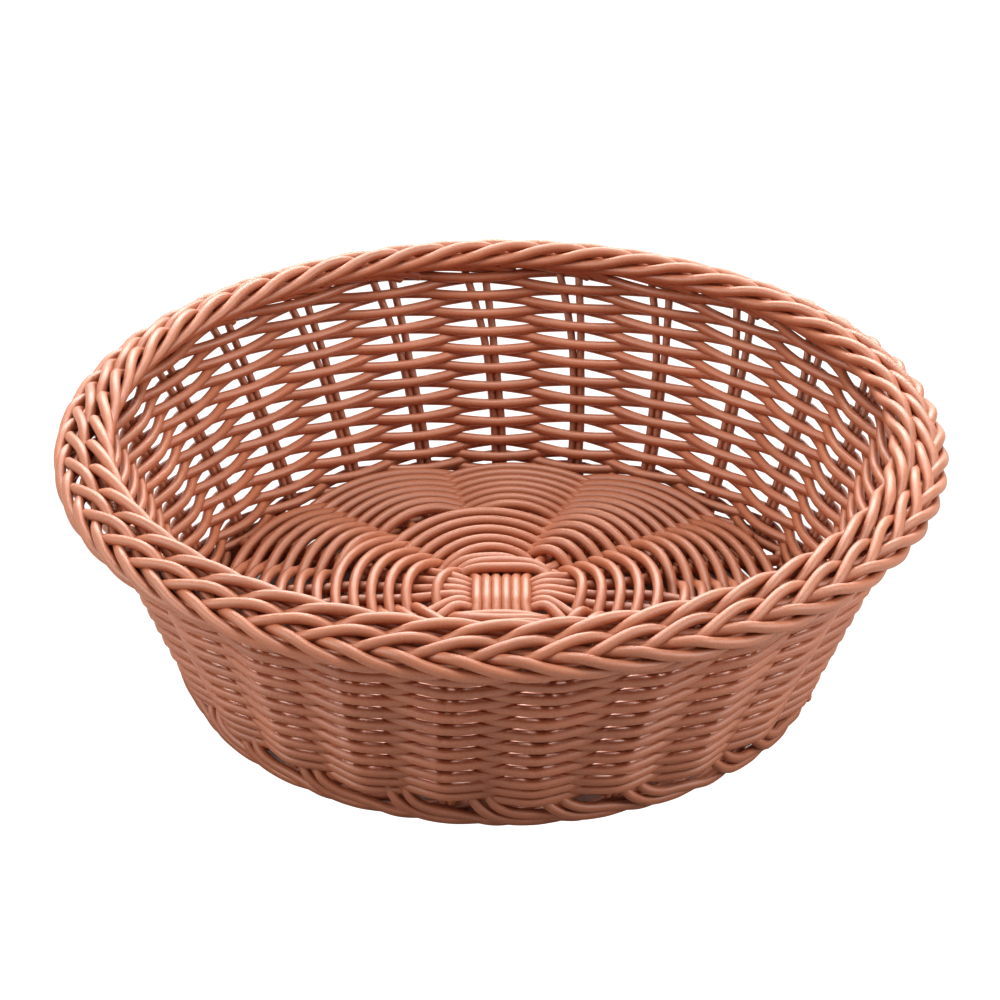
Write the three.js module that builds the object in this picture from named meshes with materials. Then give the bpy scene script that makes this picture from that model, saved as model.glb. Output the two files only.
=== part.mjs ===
// Woven fruit basket: an open round bowl with sloping sides, all made of one round plastic strand.
// Millimetres, +Z up. The origin is the centre of the circle that the foot border stands on.
import * as THREE from 'three';

// Driving dimensions
const STRAND = 3.0;              // strand diameter
const GAP = 0.35;                // least clearance between two solids
const RIM_RADIUS = 130;          // outside of the rim plait
const RIM_CENTRE = { r: 121.25, z: 74.2 };
const RIM_TILT = 23.75;          // degrees, the outer edge of the plait lies lower than the inner one
const RIM_WIDTH = 18.0;
const STAKES = 25;               // pairs of upright strands
const FIRST_STAKE = -97.6;       // degrees
const WALL_FOOT = { r: 94.0, z: 10.2 };   // stake axis at the foot of the wall
const WALL_SLOPE = 0.42;         // outward run per unit of height
const WALL_ROUNDS = 21;
const ROUND_RISE = 2.66;         // height gained by each round of the wall weaver
const FIRST_ROUND_Z = 11.9;
const BASE_RADIUS = 90.4;
const BASE_CROWN = [[0, 18.6], [19, 18.3], [50, 16.2], [91, 10.8]];   // radius and height of the stick axis
const BASE_PITCH = 2.6;          // distance between neighbouring rounds of the base
const GROUPS = 12;               // pairs of stick ends that the base weavers pass over and under
const FIRST_GROUP = -2;          // degrees
const FOOT = { inner: 91, outer: 97, height: 5.6 };

const strandColour = new THREE.Color(0.63, 0.33, 0.22);
const material = () => new THREE.MeshStandardMaterial({ color: strandColour, roughness: 0.55, metalness: 0 });
const basket = new THREE.Group();
const rad = (degrees) => degrees * Math.PI / 180;
const polar = (r, degrees, z) => new THREE.Vector3(r * Math.cos(rad(degrees)), r * Math.sin(rad(degrees)), z);
const outward = (degrees) => new THREE.Vector3(Math.cos(rad(degrees)), Math.sin(rad(degrees)), 0);
const up = new THREE.Vector3(0, 0, 1);
const two = (n) => String(n).padStart(2, '0');

function add(name, geometry) {
  const mesh = new THREE.Mesh(geometry, material());
  mesh.name = name;
  basket.add(mesh);
}

// A bar through the stations { p, a, b }: at each one the four-sided section spans the vectors a and b.
function bar(stations, closed = false) {
  const positions = [], index = [], n = stations.length;
  for (const { p, a, b } of stations) {
    for (const [i, j] of [[1, 1], [-1, 1], [-1, -1], [1, -1]]) {
      const q = p.clone().addScaledVector(a, i).addScaledVector(b, j);
      positions.push(q.x, q.y, q.z);
    }
  }
  const along = stations[1].p.clone().sub(stations[0].p);
  const flip = stations[0].a.clone().cross(stations[0].b).dot(along) < 0;
  const face = (i, j, k) => (flip ? index.push(i, k, j) : index.push(i, j, k));
  for (let s = 0; s < (closed ? n : n - 1); s++) {
    const here = 4 * s, next = 4 * ((s + 1) % n);
    for (let c = 0; c < 4; c++) {
      const d = (c + 1) % 4;
      face(here + c, here + d, next + d);
      face(here + c, next + d, next + c);
    }
  }
  if (!closed) {
    face(0, 2, 1); face(0, 3, 2);
    const end = 4 * (n - 1);
    face(end, end + 1, end + 2); face(end, end + 2, end + 3);
  }
  const geometry = new THREE.BufferGeometry();
  geometry.setAttribute('position', new THREE.Float32BufferAttribute(positions, 3));
  geometry.setIndex(index);
  geometry.computeVertexNormals();
  return geometry;
}

// Draws the two ends of an open path back a little, so that it stops short of the piece that goes on.
function shortened(stations, by) {
  const pull = (end, next) => end.p.addScaledVector(next.p.clone().sub(end.p).normalize(), by);
  pull(stations[0], stations[1]);
  pull(stations[stations.length - 1], stations[stations.length - 2]);
  return stations;
}

// Wall: radius of the stake axis at a height, and the unit vectors along and across the wall.
const stakeRadius = (z) => WALL_FOOT.r + WALL_SLOPE * (z - WALL_FOOT.z);
const stakeAngle = (k) => FIRST_STAKE + 360 * k / STAKES;
const alongWall = (degrees) => outward(degrees).multiplyScalar(WALL_SLOPE).add(up).normalize();
const acrossWall = (degrees) => outward(degrees).addScaledVector(up, -WALL_SLOPE).normalize();

// Each stake is a pair of strands side by side, one solid from the foot border to the rim plait.
for (let k = 0; k < STAKES; k++) {
  const angle = stakeAngle(k);
  const side = new THREE.Vector3(-Math.sin(rad(angle)), Math.cos(rad(angle)), 0).multiplyScalar(2.9);
  const thick = acrossWall(angle).multiplyScalar(1.1);
  const station = (z) => ({ p: polar(stakeRadius(z), angle, z), a: side, b: thick });
  add(`stake_${two(k + 1)}`, bar([station(6.3), station(68.2)]));
}

// The wall weaver climbs as one spiral, outside one stake and inside the next. With an odd number of
// stakes every round is opposite to the one below it. It is made of seven lengths of three rounds.
const LENGTHS = 7;
const perLength = STAKES * WALL_ROUNDS / LENGTHS;
for (let n = 0; n < LENGTHS; n++) {
  const stations = [];
  for (let k = n * perLength; k <= (n + 1) * perLength; k++) {
    const angle = stakeAngle(k);
    const z = FIRST_ROUND_Z + ROUND_RISE * k / STAKES;
    const shift = k % 2 ? 3.8 : -2.95;
    const p = polar(stakeRadius(z), angle, z).addScaledVector(acrossWall(angle), shift);
    stations.push({ p, a: acrossWall(angle).multiplyScalar(1.1), b: alongWall(angle).multiplyScalar(1.2) });
  }
  add(`wall_weaver_${n + 1}`, bar(shortened(stations, GAP)));
}

// Base: height of the stick axis at a distance from the centre. The middle stands higher than the edge.
function baseZ(r) {
  const i = Math.max(1, BASE_CROWN.findIndex(([edge]) => edge >= r));
  const [[r0, z0], [r1, z1]] = [BASE_CROWN[i - 1], BASE_CROWN[i]];
  return z0 + (z1 - z0) * (r - r0) / (r1 - r0);
}

// Six sticks run front to back over six that run left to right. Their ends spread out into pairs.
for (let i = 0; i < 6; i++) {
  for (const [name, lift, turn] of [['fb', 1.45, 90], ['lr', -1.45, 0]]) {
    const offset = 2.9 * (i - 2.5);
    const pair = 1 - Math.floor(i / 2);
    const side = i % 2 ? 1 : -1;
    const fixed = (along) => {
      // a stick lies at -offset across its own direction, so that the order of the sticks is kept
      const q = new THREE.Vector3(along, -offset, 0).applyAxisAngle(up, rad(turn));
      q.z = baseZ(Math.abs(along)) + lift;
      return q;
    };
    const spread = (end) => {
      const angle = turn + FIRST_GROUP + (end > 0 ? 30 * pair : 180 - 30 * pair);
      const dir = outward(angle), across = new THREE.Vector3(-dir.y, dir.x, 0);
      const at = (r) => dir.clone().multiplyScalar(r).addScaledVector(across, -1.45 * side * end)
        .setZ(baseZ(r));
      return [at(19), at(50), at(88)];
    };
    const path = [...spread(-1).reverse(), fixed(-10.5), fixed(10.5), ...spread(1)];
    const flat = outward(turn + 90);
    const stations = path.map((p) => {
      const r = Math.hypot(p.x, p.y);
      const dir = r > 15 ? new THREE.Vector3(-p.y, p.x, 0).normalize() : flat.clone();
      if (dir.dot(flat) < 0) dir.negate();
      return { p, a: dir.multiplyScalar(1.2), b: up.clone().multiplyScalar(1.1) };
    });
    add(`base_stick_${name}_${i + 1}`, bar(stations));
  }
}

// Two square rounds bind the cross: one over the front and back sticks, the other over the side sticks.
for (const [number, reach, corner, front, side] of [[1, 13.8, 11.1, 21.95, 14.85],
  [2, 17, 13.7, 15.8, 20.9]]) {
  const stations = [];
  for (let quarter = 0; quarter < 4; quarter++) {
    for (const half of [-1, 1]) {
      const p = new THREE.Vector3(reach, half * corner, quarter % 2 ? front : side);
      const a = new THREE.Vector3(1, half * 0.41, 0).multiplyScalar(1.05);
      for (const v of [p, a]) v.applyAxisAngle(up, rad(90 * quarter));
      stations.push({ p, a, b: up.clone().multiplyScalar(1.05) });
    }
  }
  add(`base_binding_${number}`, bar(stations, true));
}

// Two weavers chase each other round the base. Each one passes over every second pair of stick ends.
const FIRST_ROUND = 24.8;
const turns = (BASE_RADIUS - FIRST_ROUND) / (2 * BASE_PITCH);
for (const [name, phase] of [['a', 0], ['b', 1]]) {
  const stations = [];
  for (let g = phase; g <= turns * GROUPS; g++) {
    for (const half of [-1, 1]) {
      const r0 = FIRST_ROUND + 2 * BASE_PITCH * (g / GROUPS + phase / 2);
      const flat = 3.3 / r0 * 180 / Math.PI;      // half of the straight stretch over a pair
      const angle = FIRST_GROUP + 360 / GROUPS * g + half * flat;
      const over = (g + phase) % 2 ? -1 : 1;
      if (r0 > BASE_RADIUS - 1.4) continue;       // the outermost round ends here
      const p = polar(r0, angle, baseZ(r0) + over * 2.65);
      stations.push({ p, a: outward(angle).multiplyScalar(1.08), b: up.clone().multiplyScalar(1.1) });
    }
  }
  add(`base_weaver_${name}`, bar(stations));
}

// Foot border: the ring that the basket stands on, made by the lower ends of the stakes.
const section = [[FOOT.inner, 0], [FOOT.outer, 0], [FOOT.outer, FOOT.height - 1.2],
  [FOOT.outer - 1.4, FOOT.height], [FOOT.inner + 1.4, FOOT.height], [FOOT.inner, FOOT.height - 1.2],
  [FOOT.inner, 0]];
const foot = new THREE.LatheGeometry(section.map(([x, y]) => new THREE.Vector2(x, y)), 60);
foot.rotateX(Math.PI / 2);
add('foot_border', foot);

// Rim: three strands plaited into a flat border, its section tilted down towards the outside.
const PLAIT_PERIODS = 25;
const PLAIT_CORNER = 1.9;        // centre of the section to its corner
const tilt = rad(RIM_TILT);
for (let j = 0; j < 3; j++) {
  const stations = [];
  for (let s = 0; s < 6 * PLAIT_PERIODS; s++) {
    const angle = 360 * s / (6 * PLAIT_PERIODS);
    const phase = rad(30 + 60 * s + 120 * j);
    const lateral = (RIM_WIDTH / 2 - PLAIT_CORNER) * Math.sin(phase), normal = 2.35 * Math.sin(2 * phase);
    const wide = outward(angle).multiplyScalar(Math.cos(tilt)).addScaledVector(up, -Math.sin(tilt));
    const high = outward(angle).multiplyScalar(Math.sin(tilt)).addScaledVector(up, Math.cos(tilt));
    const p = polar(RIM_CENTRE.r, angle, RIM_CENTRE.z).addScaledVector(wide, lateral)
      .addScaledVector(high, normal);
    // the section is a square on its corner, so that the strands pass each other closely
    const a = wide.clone().add(high).multiplyScalar(PLAIT_CORNER / 2);
    const b = wide.clone().sub(high).multiplyScalar(PLAIT_CORNER / 2);
    stations.push({ p, a, b });
  }
  add(`rim_plait_${j + 1}`, bar(stations, true));
}

export default basket;
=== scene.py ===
"""Looks of the woven fruit basket: every strand as its own tube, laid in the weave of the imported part."""
import math

import bpy
import numpy as np
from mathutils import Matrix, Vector


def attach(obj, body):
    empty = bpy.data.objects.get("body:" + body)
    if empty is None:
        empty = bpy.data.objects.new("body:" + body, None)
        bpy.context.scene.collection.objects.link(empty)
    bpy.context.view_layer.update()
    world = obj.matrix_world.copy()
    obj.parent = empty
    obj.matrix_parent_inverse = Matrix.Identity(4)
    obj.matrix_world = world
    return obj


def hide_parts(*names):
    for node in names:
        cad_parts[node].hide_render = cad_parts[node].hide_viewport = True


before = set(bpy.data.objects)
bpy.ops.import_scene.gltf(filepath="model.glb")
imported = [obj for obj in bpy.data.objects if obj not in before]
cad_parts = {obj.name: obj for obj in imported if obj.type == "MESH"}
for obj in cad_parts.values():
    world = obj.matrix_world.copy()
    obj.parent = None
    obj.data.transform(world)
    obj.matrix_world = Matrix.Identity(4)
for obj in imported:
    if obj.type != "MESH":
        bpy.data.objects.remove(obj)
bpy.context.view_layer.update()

# Sizes in millimetres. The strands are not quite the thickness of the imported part's.
STRAND = 3.2             # diameter in the rim and the base
WALL_STRAND = 3.08       # diameter of the spiral strand
STAKE_STRAND = 2.45      # diameter of the uprights
FOOT_STRAND = 3.0        # diameter in the foot border
STAKES = 25
FIRST_STAKE = -97.6      # degrees
FOOT_R, FOOT_Z, SLOPE = 94.0, 10.2, 0.42     # axis of the stakes along the wall
RIM_R, RIM_Z, RIM_TILT = 121.25, 74.2, math.radians(23.75)
RIM_STRANDS = 50
RIM_PHASE = -95.0        # degrees
# the base, as radius and height
CROWN = [(0, 20.7), (17, 20.2), (31, 18.7), (47, 18.0), (60, 17.0), (75, 15.7), (91, 14.0)]
BASE_PITCH = 2.7         # distance between neighbouring rounds of the base
WEAVE_DEPTH = 3.05       # how far the wall strand goes in and out of the line of the stakes
SLIMMER = 0.9            # the basket is not quite round: its left side lies this much further in
rng = np.random.default_rng(7)


# ---------------------------------------------------------------- geometry helpers
def catmull(points, steps=10):
    """A smooth curve through the points, with that many steps between neighbours."""
    p = np.asarray(points, float)
    p = np.vstack([2 * p[0] - p[1], p, 2 * p[-1] - p[-2]])
    t = np.linspace(0, 1, steps, endpoint=False)[:, None]
    out = []
    for a, b, c, d in zip(p[:-3], p[1:-2], p[2:-1], p[3:]):
        out.append(0.5 * (2 * b + (c - a) * t + (2 * a - 5 * b + 4 * c - d) * t ** 2
                          + (3 * b - a - 3 * c + d) * t ** 3))
    return np.vstack(out + [p[-2:-1]])


def polar(r, degrees, z):
    a = np.radians(degrees)
    return np.stack([r * np.cos(a), r * np.sin(a), z + 0 * a], -1)


def tube_arrays(path, radius, sides=12, closed=False):
    """Vertices, side faces and end faces of a round tube, with domed ends."""
    path = np.asarray(path, float)
    n = len(path)
    if closed:
        tangent = np.roll(path, -1, 0) - np.roll(path, 1, 0)
    else:
        tangent = np.gradient(path, axis=0)
    tangent /= np.linalg.norm(tangent, axis=1)[:, None]
    normal = np.zeros_like(path)
    start = np.array([0.0, 0, 1]) if abs(tangent[0][2]) < 0.9 else np.array([1.0, 0, 0])
    normal[0] = start - tangent[0] * (start @ tangent[0])
    normal[0] /= np.linalg.norm(normal[0])
    for i in range(1, n):
        v = normal[i - 1] - tangent[i] * (normal[i - 1] @ tangent[i])
        normal[i] = v / np.linalg.norm(v)
    side = np.cross(tangent, normal)
    if closed:      # spread the leftover twist over the ring
        v = normal[-1] - tangent[0] * (normal[-1] @ tangent[0])
        twist = math.atan2(v @ side[0], v @ normal[0])
        a = -twist * np.arange(n)[:, None] / n
        normal, side = normal * np.cos(a) + side * np.sin(a), side * np.cos(a) - normal * np.sin(a)
    centre, size = path, np.full(n, float(radius))
    if not closed:  # a short dome on each cut end
        dome = [(0.55, 0.80), (0.85, 0.45)]
        head = [path[0] - tangent[0] * radius * 0.5 * d for d, _ in dome[::-1]]
        tail = [path[-1] + tangent[-1] * radius * 0.5 * d for d, _ in dome]
        centre = np.vstack([head, path, tail])
        size = np.concatenate([[radius * s for _, s in dome[::-1]], size, [radius * s for _, s in dome]])
        normal = np.vstack([normal[:1], normal[:1], normal, normal[-1:], normal[-1:]])
        side = np.vstack([side[:1], side[:1], side, side[-1:], side[-1:]])
    m = len(centre)
    a = np.arange(sides) * 2 * math.pi / sides
    ring = (normal[:, None] * np.cos(a)[None, :, None] + side[:, None] * np.sin(a)[None, :, None])
    verts = (centre[:, None] + ring * size[:, None, None]).reshape(-1, 3)
    i = np.arange(m if closed else m - 1)[:, None] * sides
    j = ((np.arange(m if closed else m - 1) + 1) % m)[:, None] * sides
    c, d = np.arange(sides)[None], ((np.arange(sides) + 1) % sides)[None]
    quads = np.stack([i + c, i + d, j + d, j + c], -1).reshape(-1, 4)
    caps = [] if closed else [list(range(sides))[::-1], [(m - 1) * sides + k for k in range(sides)]]
    return verts, quads, caps


def strands(name, paths, radius=STRAND / 2, sides=12, closed=False, replaces=()):
    """One object of round strands. Each vertex carries its strand's own random number."""
    verts, faces, shade, base = [], [], [], 0
    for path in paths:
        v, quads, caps = tube_arrays(path, radius, sides, closed)
        verts.append(v)
        faces += (quads + base).tolist() + [[base + k for k in cap] for cap in caps]
        shade.append(np.full(len(v), rng.random(2)[0]))      # two draws a strand, of which one is used
        base += len(v)
    mesh = bpy.data.meshes.new(name)
    mesh.from_pydata((np.vstack(verts) * 0.001).tolist(), [], faces)
    mesh.polygons.foreach_set("use_smooth", [True] * len(mesh.polygons))
    mesh.attributes.new("strand", "FLOAT", "POINT").data.foreach_set("value", np.concatenate(shade))
    mesh.update()
    piece = bpy.data.objects.new(name, mesh)
    bpy.context.scene.collection.objects.link(piece)
    mesh.materials.append(strand_material())
    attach(piece, "root")
    if replaces:
        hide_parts(*replaces)
    return piece


# ---------------------------------------------------------------- material
def strand_material():
    """Satin terracotta plastic with a fine grain, slight changes of colour and a tone for each strand."""
    name = "terracotta_strand"
    if name in bpy.data.materials:
        return bpy.data.materials[name]
    m = bpy.data.materials.new(name)
    m.use_nodes = True
    nodes, links = m.node_tree.nodes, m.node_tree.links
    bsdf = nodes["Principled BSDF"]

    def node(kind, **inputs):
        n = nodes.new(kind)
        for key, value in inputs.items():
            n.inputs[key.replace("_", " ")].default_value = value
        return n

    coordinates = nodes.new("ShaderNodeTexCoord")
    strand = nodes.new("ShaderNodeAttribute")
    strand.attribute_name = "strand"
    grain = node("ShaderNodeTexNoise", Scale=1900.0, Detail=2.0, Roughness=0.6)
    links.new(coordinates.outputs["Object"], grain.inputs["Vector"])
    cloud = node("ShaderNodeTexNoise", Scale=60.0, Detail=2.0, Roughness=0.5)
    links.new(coordinates.outputs["Object"], cloud.inputs["Vector"])

    tone = nodes.new("ShaderNodeMapRange")
    tone.inputs["To Min"].default_value = 0.94
    tone.inputs["To Max"].default_value = 1.06
    links.new(strand.outputs["Fac"], tone.inputs["Value"])
    speck = nodes.new("ShaderNodeMapRange")
    for key, value in (("From Min", 0.3), ("From Max", 0.7), ("To Min", 0.88), ("To Max", 1.12)):
        speck.inputs[key].default_value = value
    links.new(grain.outputs["Fac"], speck.inputs["Value"])
    both = nodes.new("ShaderNodeMath")
    both.operation = "MULTIPLY"
    links.new(tone.outputs["Result"], both.inputs[0])
    links.new(speck.outputs["Result"], both.inputs[1])
    ramp = nodes.new("ShaderNodeMix")
    ramp.data_type = "RGBA"
    ramp.inputs["A"].default_value = (0.43, 0.148, 0.070, 1)
    ramp.inputs["B"].default_value = (0.52, 0.188, 0.093, 1)
    links.new(cloud.outputs["Fac"], ramp.inputs["Factor"])
    value = nodes.new("ShaderNodeVectorMath")
    value.operation = "SCALE"
    links.new(ramp.outputs["Result"], value.inputs[0])
    links.new(both.outputs["Value"], value.inputs["Scale"])
    links.new(value.outputs["Vector"], bsdf.inputs["Base Color"])
    bsdf.inputs["Roughness"].default_value = 0.5
    bsdf.inputs["Coat Weight"].default_value = 0.2
    bsdf.inputs["Coat Roughness"].default_value = 0.35
    bsdf.inputs["Specular IOR Level"].default_value = 0.9
    bump = nodes.new("ShaderNodeBump")
    bump.inputs["Strength"].default_value = 0.4
    bump.inputs["Distance"].default_value = 0.00012
    links.new(grain.outputs["Fac"], bump.inputs["Height"])
    links.new(bump.outputs["Normal"], bsdf.inputs["Normal"])
    return m


# ---------------------------------------------------------------- wall
def stake_r(z):
    return FOOT_R + SLOPE * (z - FOOT_Z)


def stake_angle(k, z):
    """The stakes lean to one side, more so near the rim, and stand a little wider apart on one half."""
    lean = np.interp(z, [10, 25, 40, 52, 60, 70], [0.7, 1.0, 1.8, 2.6, 3.4, 4.5])
    return FIRST_STAKE + 360.0 * k / STAKES + lean - 1.25 * (1 + np.cos(2 * np.pi * k / STAKES))


def in_and_out(g):
    """1 on the inside of the stakes at even g, -1 outside them at odd g. A strand runs nearly straight
    along the inside and bows out in a peak around each stake that it passes outside."""
    c = np.cos(np.pi * g)
    straight = c / np.sqrt(c * c + 0.35 * (1 - c * c))
    peaked = np.arcsin(0.96 * c) / math.asin(0.96)
    return np.where(c > 0, 0.5 * (straight + peaked), peaked)


ROUNDS = 22.3
ROUND_RISE = 2.635
FIRST_ROUND_Z = 12.3
TIGHT_UNTIL, TIGHTER = 50, 0.72      # the rounds up to that stake rise by this share


def spiral_z(g):
    """Height of the spiral after g stakes. The lowest rounds are packed more tightly."""
    even = ROUND_RISE * g / STAKES
    tight = ROUND_RISE * (TIGHT_UNTIL + TIGHTER * (g - TIGHT_UNTIL)) / STAKES
    return FIRST_ROUND_Z + np.where(g > TIGHT_UNTIL, even, tight)


lengths, first, last = 7, -54.0, STAKES * ROUNDS
ends = [first] + [75.0 * n for n in range(1, lengths)] + [last]
for n in range(lengths):
    g = np.arange(ends[n], ends[n + 1] + 0.001, 0.1)
    z = spiral_z(g) + 0.12 * np.sin(g * 1.7) * np.sin(g * 0.31 + 2)
    a = stake_angle(g, z)
    slimmer = SLIMMER * (1 - np.cos(np.radians(a))) / 2
    path = polar(stake_r(z) - WEAVE_DEPTH * in_and_out(g) - slimmer, a, z)
    strands(f"wall_strand_{n + 1}", [path], WALL_STRAND / 2, replaces=[f"wall_weaver_{n + 1}"])

# pairs of upright strands, which part a little where they leave for the rim
for k in range(STAKES):
    pair = []
    for side in (-1, 1):
        z = np.linspace(7.0, 69.5, 40)
        apart = np.interp(z, [0, 46, 52, 62, 70], [1.12, 1.2, 1.6, 2.3, 3.1])
        r = stake_r(z)
        pair.append(polar(r, stake_angle(k, z) + side * np.degrees(apart / r), z))
    strands(f"stake_pair_{k + 1:02d}", pair, STAKE_STRAND / 2, replaces=[f"stake_{k + 1:02d}"])

# ---------------------------------------------------------------- rim plait
# One strand's way through the border: pitches along the rim, place across it (outwards) and above it.
PLAIT = [(-0.9, 3.6, -2.9), (-0.5, 5.2, -1.8), (-0.15, 5.2, -0.6), (0.1, 4.3, 0.9), (0.35, 3.2, 2.3),
         (0.7, 1.1, 3.0), (1.05, -0.6, 3.1), (1.4, -1.2, 2.2), (1.75, -0.4, 0.3), (2.1, 1.4, -0.2),
         (2.45, 2.9, 0.2), (2.75, 4.2, 1.9), (3.05, 5.5, 2.5), (3.4, 6.9, 1.4), (3.75, 7.7, 0.1),
         (4.1, 7.8, -1.3), (4.5, 6.8, -2.5), (4.9, 4.6, -2.8), (5.25, 1.2, -2.2), (5.5, -1.6, -1.3),
         (5.8, -2.9, 0.9), (6.1, -4.4, 2.7), (6.5, -6.2, 2.8), (6.9, -7.5, 1.6), (7.25, -7.9, -0.1),
         (7.65, -7.3, -1.7), (8.15, -6.2, -2.6), (8.7, -4.6, -2.9)]


def rim_point(u, lat, high):
    c, s = math.cos(RIM_TILT), math.sin(RIM_TILT)
    high = np.where(high < 0, 0.92 * high, high)
    angle = RIM_PHASE + 360.0 / RIM_STRANDS * u
    return polar(RIM_R + lat * c + high * s, angle, RIM_Z - lat * s + high * c)


rim = []
for k in range(RIM_STRANDS):
    stand = -2.56 if k % 2 == 0 else -3.16
    lead = [(0, -0.1, -6.2), (0.12, -1.6, -4.8), (0.4, -3.6, -3.5), (0.7, -1.4, -3.0)]
    way = [(stand + t * (-0.9 - stand), lat, high) for t, lat, high in lead] + PLAIT
    w = catmull(way, 8)
    rim.append(rim_point(k + w[:, 0], w[:, 1], w[:, 2]))
strands("rim_border", rim, sides=14, replaces=["rim_plait_1", "rim_plait_2", "rim_plait_3"])

# ---------------------------------------------------------------- base
def crown(r):
    smooth = catmull(CROWN, 12)
    return np.interp(r, smooth[:, 0], smooth[:, 1])


FIRST_END = 48.9         # degrees: the base sticks have 24 ends, 15 degrees apart
# the groups that the inner rounds pass over, as first and last stick end
INNER_GROUPS = ((0, 1), (2, 5), (6, 9), (10, 13), (14, 17), (18, 19), (20, 23))


def stick_end(j):
    """Points of stick end j, which is drawn together with the others of its group."""
    a = FIRST_END + 15.0 * j
    j = j % 24
    inner = [g for g in INNER_GROUPS if g[0] <= j <= g[1]][0]
    points = []
    for r, pull_inner, pull_pair in ((27, 0.2, 0), (38, 0.25, 0), (46, 0.2, 0.1),
                                     (56, 0.05, 0.3), (70, 0, 0.35), (82, 0, 0.35), (90, 0, 0.3)):
        to_inner = 15.0 * ((inner[0] + inner[1]) / 2 - j)
        to_pair = 7.5 if j % 2 == 0 else -7.5
        points.append(polar(r, a + pull_inner * to_inner + pull_pair * to_pair, float(crown(r))))
    return points


for label, turn, lift, first in (("fb", 90, 1, 0), ("lr", 0, -1, -6)):
    for i in range(6):
        place = 2.9 * (i - 2.5)
        a = math.radians(turn)
        along, wide = np.array([math.cos(a), math.sin(a), 0]), np.array([-math.sin(a), math.cos(a), 0])
        middle = [along * t + wide * place * (1.2 if abs(t) == 14 else 1)
                  + np.array([0, 0, float(crown(abs(t))) + 1.5 * lift * w])
                  for t, w in ((-14, -0.9), (-8.5, 0.3), (-5, 1), (0, 1), (5, 1), (8.5, 0.3), (14, -0.9))]
        path = catmull(stick_end(first + 12 + 5 - i)[::-1] + middle + stick_end(first + i), 8)
        strands(f"base_strand_{label}_{i + 1}", [path], replaces=[f"base_stick_{label}_{i + 1}"])


def over(angle, r, edges, turns, steep=0):
    """1 where a round lies over the sticks, -1 where it lies under them. It changes sides at each edge.
    With a steepness in millimetres the change is quick, and without one each run is an even arch."""
    turn = np.floor((angle - edges[0]) / 360).astype(int)
    inside = (angle - edges[0]) % 360
    spans = np.array(edges) - edges[0]
    index = np.searchsorted(spans, inside, side="right") - 1
    nearest = np.minimum(inside - spans[index], spans[index + 1] - inside)
    side = np.where((index + turn * (len(edges) - 1) + turns) % 2 == 0, 1.0, -1.0)
    if steep:
        return side * np.tanh(np.radians(nearest) * r / steep)
    half = (spans[index + 1] - spans[index]) / 2
    return side * np.sin(math.pi / 2 * (nearest / half) ** 0.85)


# two tight rounds over the sticks that run front to back, and under the others
t = np.arange(0, 360, 2.0)
square = 1 / (np.abs(np.cos(np.radians(t))) ** 5 + np.abs(np.sin(np.radians(t))) ** 5) ** 0.2
r = 13.9 * square * (1 + 0.1 * np.cos(np.radians(t)) ** 2)
edge = [41.4, 131.4, 221.4, 311.4, 401.4]
strands("base_first_round", [polar(r, t, crown(r) + 1.8 * over(t, r, edge, 0, 4))], closed=True,
        replaces=["base_binding_1"])
t = np.arange(-10, 546, 2.0)
square = 1 / (np.abs(np.cos(np.radians(t))) ** 4 + np.abs(np.sin(np.radians(t))) ** 4) ** 0.25
r = np.interp(t, [-10, 90, 330, 450, 546], [16.6, 16.9, 17.2, 19.7, 20.6]) * (1 + (square - 1) * 0.7)
side = np.where(t < 400, over(t, r, edge, 0, 4),
                over(t, r, [-18.6, 41.4, 71.4, 131.4, 191.4, 251.4, 311.4, 341.4], 1, 4))
strands("base_second_round", [polar(r, t, crown(r) + np.where(side > 0, 2.4, 2.9) * side)],
        replaces=["base_binding_2"])

# one long round strand winds outwards: first over groups of two or four stick ends, then over pairs
stretch = [(90, 17.6), (161, 18.9), (281, 20.8), (371, 24.4), (3806, 24.4 + BASE_PITCH * 3435 / 360)]
inner_edges = [-18.6, 41.4, 71.4, 131.4, 191.4, 251.4, 311.4, 341.4]
pair_edges = [71.4, 101.4, 131.4, 161.4, 191.4, 221.4, 251.4, 266.4, 281.4, 311.4, 341.4, 371.4,
              401.4, 431.4]


def round_r(angle, nominal):
    """The rounds lie a little wider at the back, where they were beaten down less."""
    loose = np.interp(nominal, [25, 48, 85], [0, 23, 0])
    return nominal + loose * (0.09 * np.sin(np.radians(angle)) + 0.03 * np.cos(np.radians(angle)))


def arch(r):
    """How far a round rises over the sticks and sinks under them, halfway along each run."""
    return np.interp(r, [18, 26, 40, 65, 76, 88], [2.9, 3.7, 4.2, 4.0, 3.3, 3.0])


t = np.arange(90, 3806, 1.5)
r = round_r(t, np.interp(t, [p[0] for p in stretch], [p[1] for p in stretch]))
strands("base_inner_rounds", [polar(r, t, crown(r) + arch(r) * over(t, r, inner_edges, 1))],
        replaces=["base_weaver_a"])
BASE_OUTER_R = 87.6
start_r = stretch[-1][1]
t = np.arange(3800, 3800 + 360 * (BASE_OUTER_R - start_r) / BASE_PITCH, 1.0)
r = round_r(t, start_r + BASE_PITCH * (t - 3806) / 360)
strands("base_outer_rounds", [polar(r, t, crown(r) + arch(r) * over(t, r, pair_edges, 1))],
        replaces=["base_weaver_b"])

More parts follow.
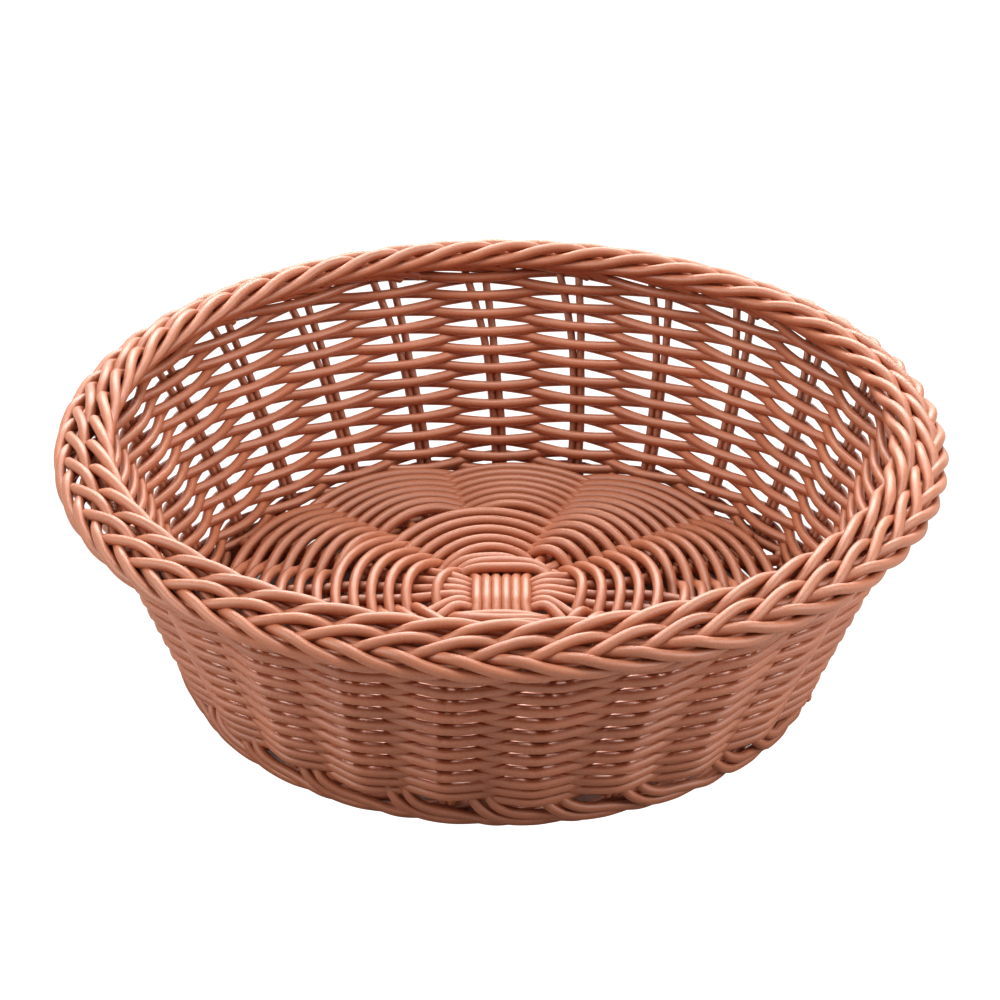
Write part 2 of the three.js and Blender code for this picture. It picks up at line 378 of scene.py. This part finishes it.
# ---------------------------------------------------------------- foot border
FIRST_LAID = [(-0.15, 93.6, 12.5), (-0.02, 94.9, 9.0), (0.08, 95.2, 6.4), (0.25, 94.4, 3.7),
              (0.45, 93.3, 2.0), (0.7, 92.8, 1.5), (0.9, 92.2, 1.5), (1.1, 91.4, 1.6),
              (1.35, 90.4, 2.0), (1.6, 89.2, 3.0), (1.9, 87.8, 4.6)]
SECOND_LAID = [(0.1, 93.6, 12.3), (0.2, 94.8, 8.8), (0.32, 95.0, 6.7), (0.5, 94.3, 4.9),
               (0.75, 93.4, 3.7), (1.0, 93.1, 2.5), (1.2, 92.8, 1.6), (1.4, 92.1, 1.5),
               (1.6, 91.0, 1.8), (1.85, 89.9, 3.0), (2.15, 88.3, 4.6)]
foot = []
for k in range(STAKES):
    late = 0.22 + 0.16 * math.sin(2.4 * k + 1.0)
    for laid in (FIRST_LAID, SECOND_LAID):
        foot.append(catmull([polar(r, stake_angle(k + u + late, z), z) for u, r, z in laid], 8))
strands("foot_strands", foot, FOOT_STRAND / 2, replaces=["foot_border"])

# ---------------------------------------------------------------- floor, light, camera
floor_mesh = bpy.data.meshes.new("floor")
floor_mesh.from_pydata([(-6, -6, 0), (6, -6, 0), (6, 6, 0), (-6, 6, 0)], [], [(0, 1, 2, 3)])
floor = bpy.data.objects.new("floor", floor_mesh)
bpy.context.scene.collection.objects.link(floor)
pale = bpy.data.materials.new("pale_floor")
pale.use_nodes = True
nodes, links = pale.node_tree.nodes, pale.node_tree.links
p = nodes["Principled BSDF"]
p.inputs["Base Color"].default_value = (0.6, 0.585, 0.575, 1)
p.inputs["Roughness"].default_value = 0.9
glow = nodes.new("ShaderNodeEmission")
place = nodes.new("ShaderNodeTexCoord")
middle = nodes.new("ShaderNodeVectorMath")
middle.operation = "LENGTH"
links.new(place.outputs["Object"], middle.inputs[0])
painted_glow_mask = nodes.new("ShaderNodeMapRange")     # painted light: outside the basket's foot the floor glows white and hides the shadow that the basket casts there; under the foot the pale floor takes real light and shade
painted_glow_mask.interpolation_type = "SMOOTHSTEP"
painted_glow_mask.inputs["From Min"].default_value = 0.0865
painted_glow_mask.inputs["From Max"].default_value = 0.0915
links.new(middle.outputs["Value"], painted_glow_mask.inputs["Value"])
seen = nodes.new("ShaderNodeLightPath")
share = nodes.new("ShaderNodeMath")
share.operation = "MULTIPLY"
links.new(painted_glow_mask.outputs["Result"], share.inputs[0])
links.new(seen.outputs["Is Camera Ray"], share.inputs[1])    # only the camera sees it glow
mix = nodes.new("ShaderNodeMixShader")
links.new(share.outputs["Value"], mix.inputs["Fac"])
links.new(p.outputs["BSDF"], mix.inputs[1])
links.new(glow.outputs["Emission"], mix.inputs[2])
links.new(mix.outputs["Shader"], nodes["Material Output"].inputs["Surface"])
floor_mesh.materials.append(pale)

scene = bpy.context.scene
scene.view_settings.view_transform = "Standard"
scene.view_settings.look = "Medium High Contrast"
world = bpy.data.worlds.new("studio")
world.use_nodes = True
nodes, links = world.node_tree.nodes, world.node_tree.links
nodes["Background"].inputs["Color"].default_value = (1, 1, 1, 1)
nodes["Background"].inputs["Strength"].default_value = 0.07
white = nodes.new("ShaderNodeBackground")        # a white studio, as the camera and the reflections see it
seen = nodes.new("ShaderNodeLightPath")
mix = nodes.new("ShaderNodeMixShader")
links.new(seen.outputs["Is Diffuse Ray"], mix.inputs["Fac"])
links.new(white.outputs["Background"], mix.inputs[1])
links.new(nodes["Background"].outputs["Background"], mix.inputs[2])
links.new(mix.outputs["Shader"], nodes["World Output"].inputs["Surface"])
scene.world = world


def area(name, place, aim, size, power, colour=(1, 1, 1)):
    data = bpy.data.lights.new(name, "AREA")
    data.shape = "RECTANGLE"
    data.size, data.size_y = size
    data.energy = power
    data.color = colour
    light = bpy.data.objects.new(name, data)
    light.location = place
    light.rotation_euler = (Vector(aim) - Vector(place)).to_track_quat("-Z", "Y").to_euler()
    scene.collection.objects.link(light)


area("left", (-1.25, -0.35, 0.8), (0, 0, 0.05), (0.9, 0.9), 9.8, (1, 0.98, 0.96))
area("right", (1.25, -0.3, 0.8), (0, 0, 0.05), (0.9, 0.9), 10.8, (1, 0.98, 0.96))
area("above", (0.0, 0.1, 1.4), (0, 0, 0.03), (0.6, 0.5), 8.6, (1, 0.98, 0.96))
area("behind", (0.0, 1.3, 0.95), (0, 0, 0.03), (1.4, 0.6), 28.0, (1, 0.99, 0.98))
area("front", (0.0, -1.5, 0.5), (0, 0, 0.03), (0.8, 0.4), 0.5, (1, 0.97, 0.94))

elevation, distance, target_z = math.radians(29.539), 1.29421, 0.040784
data = bpy.data.cameras.new("camera")
data.sensor_width = 36.0
data.lens = 158.065
data.shift_x, data.shift_y = -0.00126, 0.03602
camera = bpy.data.objects.new("camera", data)
camera.location = (0, -distance * math.cos(elevation), target_z + distance * math.sin(elevation))
camera.rotation_euler = (math.pi / 2 - elevation, 0, 0)
scene.collection.objects.link(camera)
scene.camera = camera
